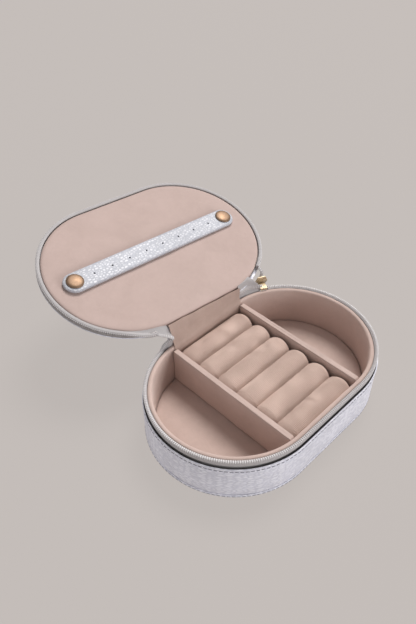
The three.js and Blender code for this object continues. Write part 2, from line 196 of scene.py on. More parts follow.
def finish_group(tree, colour, roughness, height):
    """Ends a group with its three outputs, which make_material joins to the shader."""
    for label, kind in GROUP_OUTPUTS.items():
        tree.interface.new_socket(label, in_out="OUTPUT", socket_type=kind)
    end = tree.nodes.new("NodeGroupOutput")
    for label, socket in zip(GROUP_OUTPUTS, (colour, roughness, height)):
        tree.links.new(socket, end.inputs[label])
    return tree


def make_material(name, group, group_values, bump, bump_depth, **fixed):
    """A material with its colour, roughness and height from a group, and fixed values on its shader."""
    material = bpy.data.materials.new(name)
    material.use_nodes = True
    tree = material.node_tree
    tree.nodes.clear()
    pattern = node(tree, "ShaderNodeGroup", node_tree=group)
    for label, value in group_values.items():
        pattern.inputs[label].default_value = value
    shader = node(tree, "ShaderNodeBsdfPrincipled")
    for label, value in fixed.items():
        shader.inputs[label.replace("_", " ")].default_value = value
    tree.links.new(pattern.outputs["Color"], shader.inputs["Base Color"])
    tree.links.new(pattern.outputs["Roughness"], shader.inputs["Roughness"])
    feeds = {"Strength": bump, "Distance": bump_depth, "Height": pattern.outputs["Height"]}
    raised = node(tree, "ShaderNodeBump", feeds)
    tree.links.new(raised.outputs["Normal"], shader.inputs["Normal"])
    out = node(tree, "ShaderNodeOutputMaterial")
    tree.links.new(shader.outputs["BSDF"], out.inputs["Surface"])
    return material


def grain_group():
    """Pebbled leather: raised cells with creases between them, a fine surface and slow changes of tone."""
    cell = (1.3 * MM, 1.3 * MM, 1.3 * MM)
    inputs = {"Tone": (0.6, 0.6, 0.66, 1), "Crease": (0.3, 0.3, 0.36, 1), "Cell": cell}
    tree, given, place = start_group("pebbled_grain", inputs)
    scaled = node(tree, "ShaderNodeVectorMath", {0: place, 1: given["Cell"]}, operation="DIVIDE").outputs[0]
    feeds = {"Vector": scaled, "Scale": 0.7, "Detail": 2.0}
    wander = node(tree, "ShaderNodeTexNoise", feeds).outputs["Color"]
    feeds = {0: wander, 1: (0.18, 0.18, 0.18)}
    bent = node(tree, "ShaderNodeVectorMath", feeds, operation="MULTIPLY").outputs[0]
    cells_at = node(tree, "ShaderNodeVectorMath", {0: scaled, 1: bent}, operation="ADD").outputs[0]
    cells = {"Vector": cells_at, "Scale": 1.0, "Randomness": 0.72}
    edge = node(tree, "ShaderNodeTexVoronoi", cells, feature="DISTANCE_TO_EDGE").outputs["Distance"]
    own = node(tree, "ShaderNodeTexVoronoi", cells).outputs["Color"]
    pebble = spread(tree, edge, 0.0, 0.32)
    fine = noise_at(tree, scaled, 5.0, 3.0)
    slow = noise_at(tree, place, 28.0, 2.0)
    toned = mix_colour(tree, pebble, given["Crease"], given["Tone"])
    lit = spread(tree, own, 0.0, 1.0, 0.94, 1.05, "LINEAR")
    patchy = spread(tree, slow, 0.3, 0.7, 0.93, 1.05, "LINEAR")
    bright = calculate(tree, "MULTIPLY", lit, patchy)
    value = node(tree, "ShaderNodeHueSaturation", {"Value": bright, "Color": toned}).outputs[0]
    smooth = spread(tree, pebble, 0.0, 1.0, 0.62, 0.4)
    rough = add_share(tree, smooth, fine, 0.1)
    height = add_share(tree, pebble, fine, 0.06)
    return finish_group(tree, value, rough, height)


pebbled_grain = grain_group()
shell_leather = make_material(
    "silver_shell_leather", pebbled_grain,
    {
        "Tone": (0.88, 0.88, 0.95, 1), "Crease": (0.68, 0.68, 0.76, 1),
        "Cell": (4.2 * MM, 4.2 * MM, 1.5 * MM),
    },
    0.45, 0.35 * MM, Metallic=0.12, Coat_Weight=0.12, Coat_Roughness=0.3,
)
# A near-black copy of the grain: painted shade for the dark gap between the leather lip and the zip tape.
painted_lip_shade = make_material(
    "lip_gap_painted_shade", pebbled_grain,
    {"Tone": (0.03, 0.028, 0.03, 1), "Crease": (0.015, 0.014, 0.015, 1)},
    0.3, 0.1 * MM, Metallic=0.0,
)


def finish_piece(piece, material, body=None, stands_for=()):
    """Gives a piece its material, the body it moves with and the CAD nodes it shows."""
    piece.data.materials.clear()
    piece.data.materials.append(material)
    if body:
        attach(piece, body)
    if stands_for:
        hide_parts(*stands_for)
    return piece


# The side's section: up the outside, a crease where the stitches pull in, and over the folded lip.
wall_bottom = wall_low.z / MM
wall_top = wall_high.z / MM
STITCH_DROP = 2.4
wall_outline = [
    (0.9, wall_bottom), (0.4, wall_bottom + 0.3), (0.1, wall_bottom + 1), (0.05, wall_top * 0.35),
    (0.16, wall_top * 0.6), (0.18, wall_top - 4.6), (0.22, wall_top - STITCH_DROP - 0.7),
    (0.42, wall_top - STITCH_DROP), (0.14, wall_top - STITCH_DROP + 0.6), (0.0, wall_top - 1.1),
    (0.05, wall_top - 0.5), (0.22, wall_top - 0.14), (0.46, wall_top), (0.78, wall_top - 0.18),
    (0.95, wall_top - 0.6), (1.0, wall_top - 2.5), (1.0, wall_bottom), (0.9, wall_bottom),
]
side = sweep_case("leather_side", wall_outline, steps=48, straight=24)
soften(side, 0.22 * MM, 14 * MM, lambda at: at.z < (wall_top - 4) * MM)
finish_piece(side, shell_leather, "base", ["side_wall"])
# The side's inward faces, the inside of the lip among them, take that near-black painted shade.
side.data.materials.append(painted_lip_shade)
for face in side.data.polygons:
    outward = Vector((face.center.x - max(-END_X, min(END_X, face.center.x)), face.center.y, 0))
    if face.normal.dot(outward) < -0.5 * outward.length:
        face.material_index = 1

welt_low, welt_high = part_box("bottom_welt")
welt_foot, welt_head = welt_low.z / MM, welt_high.z / MM
welt_outline = [
    (0.7, welt_foot), (0.25, welt_foot + 0.15), (0.03, welt_foot + 0.6), (0.0, welt_foot + 1.2),
    (0.06, welt_head - 0.5), (0.3, welt_head - 0.1), (0.7, welt_head), (2.0, welt_head),
    (2.0, welt_foot), (0.7, welt_foot),
]
welt = sweep_case("sewn_welt", welt_outline, steps=48, straight=24)
finish_piece(welt, shell_leather, "base", ["bottom_welt"])

middle = END_RADIUS / MM
panel_inset = (END_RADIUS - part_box("bottom_panel")[1].y) / MM
PANEL_THICKNESS = 0.8
panel_outline = [
    (middle, 0.0), (12, 0.0), (panel_inset + 1, 0.0), (panel_inset + 0.3, 0.12), (panel_inset, 0.4),
    (panel_inset + 0.3, 0.7), (panel_inset + 1, PANEL_THICKNESS), (middle, PANEL_THICKNESS),
]
bottom = sweep_case("leather_bottom", panel_outline)
finish_piece(bottom, shell_leather, "base", ["bottom_panel"])


def thread_group():
    """Twisted thread: fine slanting strands with a little fuzz."""
    inputs = {"Tone": (0.6, 0.6, 0.64, 1), "Shade": (0.35, 0.35, 0.4, 1)}
    tree, given, place = start_group("twisted_thread", inputs)
    feeds = {"Vector": place, "Scale": 900.0, "Distortion": 2.0}
    strands = node(tree, "ShaderNodeTexWave", feeds, bands_direction="DIAGONAL").outputs["Fac"]
    colour = mix_colour(tree, strands, given["Shade"], given["Tone"])
    rough = spread(tree, strands, 0.0, 1.0, 0.8, 0.6)
    return finish_group(tree, colour, rough, strands)


# The thread's dark greys are partly its own colour and partly painted shade of the grooves the stitches sink
# into.
thread_material = make_material(
    "thread_grey_and_groove_shade", thread_group(), {"Tone": (0.38, 0.38, 0.43, 1), "Shade": (0.2, 0.2, 0.24, 1)},
    0.4, 0.05 * MM, Metallic=0.1,
)


def rim_places(pitch, inset, height, start=0.0, stop=1.0):
    """Evenly spaced places round the case, each turned so that its X runs along the rim and its Y inwards."""
    radius = END_RADIUS - inset * MM
    straight, half_round = 2 * END_X, math.pi * radius
    length = 2 * (straight + half_round)
    count = int(length * (stop - start) / pitch)
    places = []
    for i in range(count):
        run = (length * (start + (stop - start) * (i + 0.5) / count)) % length
        # From the middle of the hinge side: left along it, round the left end, the front, the right end.
        if run < straight / 2:
            at, turn = Vector((-run, radius, 0)), math.pi
        elif run < straight / 2 + half_round:
            angle = math.pi / 2 + (run - straight / 2) / radius
            at = Vector((-END_X + radius * math.cos(angle), radius * math.sin(angle), 0))
            turn = angle + math.pi / 2
        elif run < 1.5 * straight + half_round:
            at, turn = Vector((-END_X + run - straight / 2 - half_round, -radius, 0)), 0.0
        elif run < 1.5 * straight + 2 * half_round:
            angle = -math.pi / 2 + (run - 1.5 * straight - half_round) / radius
            at = Vector((END_X + radius * math.cos(angle), radius * math.sin(angle), 0))
            turn = angle + math.pi / 2
        else:
            at, turn = Vector((END_X - (run - 1.5 * straight - 2 * half_round), radius, 0)), math.pi
        at.z = height * MM
        places.append(Matrix.Translation(at) @ Matrix.Rotation(turn, 4, "Z"))
    return places


def copy_to(places, pattern, name):
    """Copies one small shape to each place, joins the copies into one piece and removes the pattern."""
    copies = []
    for place in places:
        copy = pattern.copy()
        copy.data = pattern.data.copy()
        copy.data.transform(place)
        bpy.context.scene.collection.objects.link(copy)
        copies.append(copy)
    let_go()
    for copy in copies:
        copy.select_set(True)
    bpy.context.view_layer.objects.active = copies[0]
    bpy.ops.object.join()
    copies[0].name = name
    bpy.data.objects.remove(pattern)
    return copies[0]


def make_stitch(length, thickness):
    """One stitch: a short thread that dips into the leather at both ends."""
    let_go()
    bpy.ops.mesh.primitive_cylinder_add(
        vertices=6, radius=thickness / 2, depth=length, rotation=(0, math.pi / 2, 0),
    )
    stitch = bpy.context.object
    bpy.ops.object.transform_apply(rotation=True)
    edit_all()
    bpy.ops.mesh.bevel(offset=thickness * 0.3, segments=1)
    return tidy_mesh(stitch, 60)


STITCH_PITCH = 3.0 * MM
STITCH_LENGTH = 2.1 * MM
STITCH_THICKNESS = 0.5 * MM
LID_STITCH_THICKNESS = 0.45 * MM
for seam, inset, height in (
    ("lip_stitches", 0.24, wall_top - STITCH_DROP), ("welt_stitches", 0.05, (welt_foot + welt_head) / 2),
):
    stitch = make_stitch(STITCH_LENGTH, STITCH_THICKNESS)
    stitches = copy_to(rim_places(STITCH_PITCH, inset, height), stitch, seam)
    finish_piece(stitches, thread_material, "base")


def board_group():
    """Grey board: pressed paper fibres."""
    tree, given, place = start_group("pressed_board", {"Tone": (0.33, 0.3, 0.28, 1)})
    fibres = noise_at(tree, place, 900.0, 4.0)
    shade = spread(tree, fibres, 0.3, 0.7, 0.8, 1.1)
    colour = node(tree, "ShaderNodeHueSaturation", {"Value": shade, "Color": given["Tone"]}).outputs[0]
    return finish_group(tree, colour, spread(tree, fibres, 0, 1, 0.85, 0.95), fibres)


board_material = make_material("grey_board", board_group(), {}, 0.3, 0.1 * MM)
# The boards keep the shapes they have in the model: they are closed in between the leather and the velvet.
for board_name in ("bottom_board", "wall_board", "lid_board"):
    board = frame["nodes"][board_name]
    board.data.materials.clear()
    board.data.materials.append(board_material)


# ---- Velvet lining ----
# Inside, a velvet-covered foam wall stands a little higher than the leather and makes a soft collar. The
# floor is a thin velvet pad, and two velvet-covered boards divide it. Everything is glued in place.
def velvet_group():
    """Short-pile velvet: brushed patches, soft marks and a fine pile."""
    inputs = {"Tone": (0.6, 0.45, 0.38, 1), "Shade": (0.5, 0.37, 0.3, 1)}
    tree, given, place = start_group("velvet_nap", inputs)
    pile = noise_at(tree, place, 2600.0, 2.0)
    patches = spread(tree, noise_at(tree, place, 42.0, 3.0, 0.6), 0.3, 0.7)
    marks = spread(tree, noise_at(tree, place, 210.0, 3.0, 1.2), 0.3, 0.75)
    amount = calculate(tree, "MULTIPLY", patches, 0.5)
    amount = add_share(tree, amount, marks, 0.3)
    amount = add_share(tree, amount, pile, 0.35)
    colour = mix_colour(tree, amount, given["Shade"], given["Tone"])
    rough = spread(tree, pile, 0.2, 0.8, 0.9, 1.0)
    height = add_share(tree, pile, marks, 0.6)
    return finish_group(tree, colour, rough, height)


velvet_nap = velvet_group()


def velvet_dye_and_shade(name, tone, shade, tint=(1.0, 0.88, 0.82, 1)):
    """The velvet in one of its tones: its own beige, the rolls' pinker dye, a darker copy on the lid pad that
    is painted shade, and a darker tone for the hinge strip.
    """
    return make_material(
        name, velvet_nap, {"Tone": tone, "Shade": shade}, 0.35, 0.12 * MM,
        Sheen_Weight=0.35, Sheen_Roughness=0.45, Sheen_Tint=tint, Specular_IOR_Level=0.15,
    )


velvet = velvet_dye_and_shade("beige_velvet", (0.6, 0.462, 0.412, 1), (0.52, 0.396, 0.35, 1))

lining_low, lining_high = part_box("lining_wall")
lining_inset = (END_RADIUS - lining_high.y) / MM
LINING_THICKNESS = 3.0
lining_top = lining_high.z / MM
lining_foot = lining_low.z / MM
lining_inner = lining_inset + LINING_THICKNESS
lining_outline = [
    (lining_inset, lining_foot), (lining_inset, lining_top - 1.6), (lining_inset + 0.12, lining_top - 0.85),
    (lining_inset + 0.45, lining_top - 0.3), (lining_inset + 0.95, lining_top - 0.04),
    (lining_inset + 1.5, lining_top), (lining_inset + 2.1, lining_top - 0.1),
    (lining_inset + 2.6, lining_top - 0.42), (lining_inset + 2.9, lining_top - 1.0),
    (lining_inner, lining_top - 1.8), (lining_inner, lining_top - 9), (lining_inner, lining_foot + 10),
    (lining_inner, lining_foot), (lining_inset, lining_foot),
]
collar = sweep_case("velvet_wall", lining_outline, steps=48, straight=20)
soften(collar, 0.35 * MM, 11 * MM, lambda at: at.z < (lining_top - 1.2) * MM)
soften(collar, 0.12 * MM, 5 * MM)
finish_piece(collar, velvet, "base", ["lining_wall"])

floor_low, floor_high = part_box("floor_pad")
floor_inset = (END_RADIUS - floor_high.y) / MM
floor_foot, floor_top = floor_low.z / MM, floor_high.z / MM
floor_outline = [(middle, floor_top)]
floor_outline += [(inset, floor_top) for inset in (44, 34, 26, 19, 14, 10.5)]
floor_outline += [
    (floor_inset + 1.6, floor_top - 0.05), (floor_inset + 0.7, floor_top - 0.35),
    (floor_inset + 0.15, floor_top - 0.9), (floor_inset, floor_top - 1.5), (floor_inset, floor_foot),
    (middle, floor_foot),
]
floor_pad = sweep_case("velvet_floor", floor_outline, steps=36, straight=16)
soften(floor_pad, 0.5 * MM, 17 * MM, lambda at: at.z > (floor_top - 0.2) * MM)
finish_piece(floor_pad, velvet, "base", ["floor_pad"])


def soft_block(name, low, high, edge, segments, cuts):
    """A padded block: a box of that size with its edges rolled over and enough faces to be softened."""
    let_go()
    size = high - low
    bpy.ops.mesh.primitive_cube_add(size=1, location=(low + high) / 2, scale=size)
    block = bpy.context.object
    block.name = name
    bpy.ops.object.transform_apply(location=True, scale=True)
    edit_all()
    bpy.ops.mesh.subdivide(number_cuts=cuts)
    bpy.ops.mesh.select_all(action="DESELECT")
    bpy.ops.mesh.edges_select_sharp(sharpness=math.radians(60))
    bpy.ops.mesh.bevel(offset=edge, segments=segments)
    return tidy_mesh(block, 50)


DIVIDER_ROUND = 1.55 * MM
for divider_name in ("divider_left", "divider_right"):
    low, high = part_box(divider_name)
    divider = soft_block(f"velvet_{divider_name}", low, high, DIVIDER_ROUND, segments=5, cuts=14)
    soften(divider, 0.3 * MM, 12 * MM)
    finish_piece(divider, velvet, "base", [divider_name])


# ---- Ring rolls ----
# Six firm foam bars wrapped in a slightly pinker velvet. They stand side by side between the dividers,
# and rings are pushed into the gaps between them.
ROSE_TINT = (1.0, 0.88, 0.8, 1)
roll_velvet = velvet_dye_and_shade("rose_velvet", (0.63, 0.475, 0.41, 1), (0.59, 0.443, 0.38, 1), ROSE_TINT)
ROLL_END_ROUND = 4.6 * MM
ROLL_CUTS = 12


def make_roll(name, low, high, end_round):
    """A bar with a round top and soft ends, laid along X, with its flat foot on the floor."""
    let_go()
    width, height, length = high.y - low.y, high.z - low.z, high.x - low.x
    bpy.ops.mesh.primitive_cylinder_add(
        vertices=64, radius=width / 2, depth=length, end_fill_type="NGON", rotation=(0, math.pi / 2, 0),
        location=((low.x + high.x) / 2, (low.y + high.y) / 2, high.z - width / 2),
    )
    roll = bpy.context.object
    roll.name = name
    bpy.ops.object.transform_apply(location=True, rotation=True)
    centre = high.z - width / 2
    for vertex in roll.data.vertices:
        if vertex.co.z < centre - 0.01 * MM:
            vertex.co.z -= height - width
            vertex.co.z = max(vertex.co.z, low.z)
    bpy.ops.object.mode_set(mode="EDIT")
    bpy.ops.mesh.select_all(action="DESELECT")
    bpy.ops.mesh.edges_select_sharp(sharpness=math.radians(70))
    bpy.ops.mesh.bevel(offset=end_round, segments=6)
    for i in (0, *range(1 - ROLL_CUTS, 0), *range(1, ROLL_CUTS)):
        edit_all()
        bpy.ops.mesh.bisect(plane_co=(i / ROLL_CUTS * length / 2, 0, 0), plane_no=(1, 0, 0))
    return tidy_mesh(roll, 60)


for number in range(1, 7):
    low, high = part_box(f"ring_roll_{number}")
    roll = make_roll(f"velvet_roll_{number}", low, high, ROLL_END_ROUND)
    soften(roll, 0.25 * MM, 12 * MM)
    finish_piece(roll, roll_velvet, "base", [f"ring_roll_{number}"])


# ---- Base half of the zip ----
# A woven tape is sewn inside the leather lip and carries a moulded nylon coil on its top edge. It runs
# from the left of the hinge, round the front, to the slider at the right of the hinge.
coil_low, coil_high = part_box("base_zip_coil")
coil_foot, coil_top = coil_low.z / MM, coil_high.z / MM
ZIP_CUT_ANGLE = 59.0
ZIP_LEFT_X = -40 * MM
COIL_INSET = 0.9
COIL_WIDTH = 1.8
TOOTH_PITCH = 1.3 * MM
TOOTH_LENGTH = 0.74 * MM


def sweep_zip(name, outline, steps=60):
    """Sweeps an outline from the slider, round the right end, the front and the left end, to the hinge."""
    piece = draw(name, [rim_point(*p, angle=ZIP_CUT_ANGLE) for p in outline])
    edit_all()
    angle = math.radians(90 + ZIP_CUT_ANGLE)
    bpy.ops.mesh.spin(steps=steps, angle=angle, center=(END_X, 0, 0), axis=(0, 0, 1))
    run_straight(-2 * END_X)
    past = math.asin((-END_X - ZIP_LEFT_X) / END_RADIUS)
    bpy.ops.mesh.spin(steps=steps, angle=math.pi - past, center=(-END_X, 0, 0), axis=(0, 0, 1))
    return tidy_mesh(piece)


def weave_group():
    """Woven tape: fine crossing yarns with lighter ribs across, and painted shade in the hollows between
    them.
    """
    inputs = {"Tone": (0.62, 0.6, 0.6, 1), "Shade": (0.45, 0.43, 0.43, 1), "Yarn": 0.5 * MM}
    tree, given, place = start_group("woven_tape", inputs)
    per_metre = calculate(tree, "DIVIDE", 1.0, given["Yarn"])
    feeds = {0: place, "Scale": per_metre}
    scaled = node(tree, "ShaderNodeVectorMath", feeds, operation="SCALE").outputs[0]
    yarns = {"Vector": scaled, "Scale": 0.3, "Distortion": 0.4}
    up = node(tree, "ShaderNodeTexWave", yarns, bands_direction="Z").outputs["Fac"]
    across = node(tree, "ShaderNodeTexWave", yarns, bands_direction="DIAGONAL").outputs["Fac"]
    crossing = calculate(tree, "MULTIPLY", up, across)
    slow = noise_at(tree, place, 60.0, 2.0)
    amount = calculate(tree, "MULTIPLY", crossing, 0.6)
    amount = add_share(tree, amount, slow, 0.5)
    # Where the yarns don't cross, the tape takes its Shade colour: painted shade in the hollows.
    colour = mix_colour(tree, amount, given["Shade"], given["Tone"])
    rough = spread(tree, crossing, 0.0, 1.0, 0.95, 0.8)
    return finish_group(tree, colour, rough, crossing)


woven_tape = weave_group()
tape_material = make_material(
    "grey_zip_tape", woven_tape, {"Tone": (0.52, 0.495, 0.495, 1), "Shade": (0.38, 0.36, 0.36, 1)},
    0.4, 0.12 * MM, Sheen_Weight=0.15,
)
coil_material = make_material(
    "nylon_coil", woven_tape, {"Tone": (0.78, 0.755, 0.755, 1), "Shade": (0.66, 0.635, 0.635, 1)},
    0.15, 0.05 * MM, Specular_IOR_Level=0.5,
)

tape_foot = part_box("base_zip_tape")[0].z / MM
tape_bend = [
    (2.4, -4.0), (1.5, -3.2), (1.25, -2.6), (1.05, -1.2), (1.15, 0.1), (1.3, 0.7), (2.3, 0.75), (2.8, 0.5),
    (3.25, 0.1), (3.2, -0.4), (2.2, -0.8), (1.9, -2.4), (3.0, -4.2),
]
base_tape_outline = [(2.5, tape_foot), *raised(coil_foot, tape_bend), (3.1, tape_foot), (2.5, tape_foot)]
base_tape = sweep_zip("base_tape", base_tape_outline)
finish_piece(base_tape, tape_material, "base", ["base_zip_tape"])


def make_tooth(width, height):
    """One turn of the coil: a short rounded bar that lies across the tape's edge."""
    let_go()
    bpy.ops.mesh.primitive_cube_add(size=1, scale=(TOOTH_LENGTH, width, height))
    tooth = bpy.context.object
    bpy.ops.object.transform_apply(scale=True)
    edit_all()
    bpy.ops.mesh.bevel(offset=0.3 * MM, segments=1)
    return tidy_mesh(tooth, 80)


def zip_share(radius):
    """Where the zip starts and stops, as shares of the way round from the middle of the hinge side."""
    length = 4 * END_X + 2 * math.pi * radius
    past = math.asin((-END_X - ZIP_LEFT_X) / radius)
    start = (END_X + past * radius) / length
    stop = 1 - (END_X + math.radians(90 - ZIP_CUT_ANGLE) * radius) / length
    return start, stop


coil_middle = COIL_INSET + COIL_WIDTH / 2
start, stop = zip_share(END_RADIUS - coil_middle * MM)
base_teeth_places = rim_places(TOOTH_PITCH, coil_middle, (coil_foot + coil_top) / 2, start, stop)
base_teeth = copy_to(base_teeth_places, make_tooth(COIL_WIDTH * MM, (coil_top - coil_foot) * MM), "base_coil")
finish_piece(base_teeth, coil_material, "base", ["base_zip_coil"])


# ---- Lid ----
# The lid is a thin padded board: silver leather outside, velvet over foam inside, with the zip's other half
# round its edge. It is modelled shut, as it is sewn, and then turned open with the hinge's own angle.
def find_joint(name):
    return next(joint for joint in frame["joints"] if joint["name"] == name)


lid_joint = find_joint("lid_hinge")
hinge_at = Vector(lid_joint["pos_m"])
OPEN_ANGLE = math.radians(lid_joint["range_deg"][1])
opening = (
    Matrix.Translation(hinge_at)
    @ Matrix.Rotation(-OPEN_ANGLE, 4, Vector(lid_joint["axis"]))
    @ Matrix.Translation(-hinge_at)
)
SHUT_GAP = 1.4
lid_plane = coil_top + SHUT_GAP
LID_PAD_INSET = 2.7
LID_PAD_BOTTOM = lid_plane + 0.3
LID_PAD_TOP = lid_plane + 3.3
LID_COVER_BOTTOM = lid_plane + 5.2
LID_COVER_TOP = lid_plane + 6.0


def open_lid(piece):
    piece.data.transform(opening)
    piece.data.update()
    return piece


cover_outline = raised(LID_COVER_BOTTOM, [(middle, 0), (1.2, 0), (0.3, 0.05), (0.05, 0.3)])
cover_outline += raised(LID_COVER_TOP, [(0.12, -0.2), (0.6, -0.03), (1.8, -0.12), (2.3, -0.2), (2.8, -0.08)])
cover_outline += [(inset, LID_COVER_TOP) for inset in (4, 8, 14, 22, 32, 44, middle)]
cover = sweep_case("leather_lid", cover_outline, steps=48, straight=20)
open_lid(cover)
finish_piece(cover, shell_leather, "lid", ["lid_cover"])

lid_stitch_places = rim_places(STITCH_PITCH, 2.25, LID_COVER_TOP - 0.12)
lid_stitch = make_stitch(STITCH_LENGTH, LID_STITCH_THICKNESS)
lid_stitches = open_lid(copy_to(lid_stitch_places, lid_stitch, "lid_stitches"))
finish_piece(lid_stitches, thread_material, "lid")

edge_material = make_material(
    "shaded_edge_leather", pebbled_grain,
    {"Tone": (0.42, 0.39, 0.38, 1), "Crease": (0.26, 0.24, 0.24, 1)},
    0.4, 0.2 * MM, Metallic=0.2,
)
edge_foot, edge_top = lid_plane + 2.6, lid_plane + 4.9
edge_outline = raised(edge_foot, [(0.25, 0), (0.05, 0.3), (0.0, 1.1)])
edge_outline += raised(edge_top, [(0.05, -0.3), (0.25, 0), (0.9, 0)])
edge_outline += [(0.9, edge_foot), (0.25, edge_foot)]
edge_band = open_lid(sweep_zip("lid_edge", edge_outline))
finish_piece(edge_band, edge_material, "lid", ["lid_edge_band"])

lid_tape_outline = raised(lid_plane, [
    (0.1, 1.5), (-0.05, 0.7), (0.3, 0.1), (0.9, -0.1), (1.7, -0.05), (2.25, 0.25), (2.4, 0.8), (2.1, 1.3),
    (1.6, 1.5), (1.8, 2.2), (1.8, 4.6), (1.2, 4.6), (1.1, 2.0), (0.1, 1.5),
])


SAG_FROM = -62 * MM
SAG = Vector((0, 1.3 * MM, 3.0 * MM))


def sag_at(x):
    share = max(0.0, min(1.0, (x - SAG_FROM) / (ZIP_LEFT_X - SAG_FROM)))
    return SAG * share * share * (3 - 2 * share)


def let_sag(piece):
    """Near the left of the hinge the zip comes away from the lid's edge and sags towards the base."""
    for vertex in piece.data.vertices:
        if vertex.co.y > 0 and vertex.co.x < 0:
            vertex.co += sag_at(vertex.co.x)
    return piece


lid_tape = open_lid(let_sag(sweep_zip("lid_tape", lid_tape_outline)))
finish_piece(lid_tape, tape_material, "lid", ["lid_zip_tape"])

LID_COIL_INSET = -0.35
LID_COIL_WIDTH = 1.2
LID_COIL_THICKNESS = 1.5
LID_COIL_HEIGHT = 1.1
lid_coil_middle = LID_COIL_INSET + LID_COIL_WIDTH / 2
start, stop = zip_share(END_RADIUS - lid_coil_middle * MM)
lid_teeth_places = rim_places(TOOTH_PITCH, lid_coil_middle, lid_plane + LID_COIL_HEIGHT, start, stop)
lid_tooth = make_tooth(LID_COIL_WIDTH * MM, LID_COIL_THICKNESS * MM)
lid_teeth = open_lid(let_sag(copy_to(lid_teeth_places, lid_tooth, "lid_coil")))
finish_piece(lid_teeth, coil_material, "lid", ["lid_zip_coil"])

HINGE_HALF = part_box("hinge_inner_panel")[1].x
# The lid pad's velvet is a darker copy of the lining's: painted shade, because the pad faces up into the
# light.
lid_velvet_painted_shade = velvet_dye_and_shade("lid_velvet_painted_shade", (0.515, 0.396, 0.36, 1), (0.46, 0.352, 0.317, 1))
pad_outline = [(middle, LID_PAD_BOTTOM)]
pad_outline += [(inset, LID_PAD_BOTTOM) for inset in (46, 38, 30, 23, 17, 12, 8, 5.8)]
pad_outline += [
    (LID_PAD_INSET + 1.8, LID_PAD_BOTTOM + 0.08), (LID_PAD_INSET + 0.9, LID_PAD_BOTTOM + 0.35),
    (LID_PAD_INSET + 0.3, LID_PAD_BOTTOM + 0.85), (LID_PAD_INSET, LID_PAD_BOTTOM + 1.6),
    (LID_PAD_INSET, LID_PAD_TOP - 0.3), (LID_PAD_INSET + 0.3, LID_PAD_TOP), (middle, LID_PAD_TOP),
]
lid_pad = sweep_case("velvet_lid_pad", pad_outline, steps=48, straight=20)
# The lining is pulled towards the hinge there, where it meets the hinge's inner strip.
PAD_REACH = 1.5 * MM
for vertex in lid_pad.data.vertices:
    along = max(0.0, 1 - (abs(vertex.co.x) / (HINGE_HALF + 6 * MM)) ** 6)
    near_edge = max(0.0, (vertex.co.y - END_RADIUS + 8 * MM) / (8 * MM))
    vertex.co.y += PAD_REACH * along * near_edge
soften(lid_pad, 0.35 * MM, 21 * MM, lambda at: at.z < (LID_PAD_BOTTOM + 0.1) * MM)
open_lid(lid_pad)
finish_piece(lid_pad, lid_velvet_painted_shade, "lid", ["lid_lining_pad"])


# ---- Earring strap ----
# A strap of silver leather folded round a stiffener, with eight holes for earring posts. A snap at each end
# holds it to the lid, and its left end can be undone and lifted.
STRAP_CENTRE = Vector((-0.7 * MM, -1.1 * MM, 0))
SNAP_HALF = 64.4 * MM
STRAP_HALF_WIDTH = 7.9
STRAP_TOP = lid_plane - 0.1
STRAP_FACE = lid_plane - 2.7
HOLE_COUNT = 8
HOLE_SPACING = 14.17 * MM
HOLE_RADIUS = 0.75 * MM
SNAP_HOLE_RADIUS = 2.6 * MM
strap_leather = make_material(
    "silver_strap_leather", pebbled_grain,
    {
        "Tone": (0.55, 0.55, 0.585, 1), "Crease": (0.42, 0.43, 0.475, 1),
        "Cell": (2.5 * MM, 1.7 * MM, 1.7 * MM),
    },
    0.32, 0.35 * MM, Metallic=0.06, Coat_Weight=0.15, Coat_Roughness=0.3,
)


def strap_point(out, height):
    """A place on the strap's front, out from its middle line, before it is put in its place on the lid."""
    return Vector((SNAP_HALF, -out * MM, height * MM))


edge, face, back = STRAP_HALF_WIDTH, STRAP_FACE, STRAP_TOP
strap_outline = [
    (0, face + 0.02), (3, face), (5.4, face), (6.3, face + 0.03), (edge - 0.8, face + 0.1),
    (edge - 0.35, face + 0.35), (edge - 0.08, face + 0.8), (edge, face + 1.3), (edge - 0.1, back - 0.5),
    (edge - 0.5, back - 0.1), (edge - 1, back), (0, back),
]
strap = sweep_round("leather_strap", [strap_point(*place) for place in strap_outline], SNAP_HALF, 24, 64)


def drill(piece, places, radius):
    """Cuts round holes down through a piece."""
    for at in places:
        let_go()
        bpy.ops.mesh.primitive_cylinder_add(vertices=16, radius=radius, depth=12 * MM, location=at)
        tool = bpy.context.object
        cut = piece.modifiers.new("hole", "BOOLEAN")
        cut.operation, cut.object, cut.solver = "DIFFERENCE", tool, "EXACT"
        let_go()
        piece.select_set(True)
        bpy.context.view_layer.objects.active = piece
        bpy.ops.object.modifier_apply(modifier=cut.name)
        bpy.data.objects.remove(tool)


hole_height = (face + back) / 2 * MM
first_hole = (HOLE_COUNT - 1) / 2
hole_places = [Vector(((i - first_hole) * HOLE_SPACING, 0, hole_height)) for i in range(HOLE_COUNT)]
drill(strap, hole_places, HOLE_RADIUS)
drill(strap, [Vector((end * SNAP_HALF, 0, hole_height)) for end in (-1, 1)], SNAP_HOLE_RADIUS)
bpy.ops.object.shade_smooth_by_angle(angle=math.radians(40))
strap.data.transform(Matrix.Translation(STRAP_CENTRE))
open_lid(strap)
finish_piece(strap, strap_leather, None, ["earring_strap"])
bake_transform(strap)


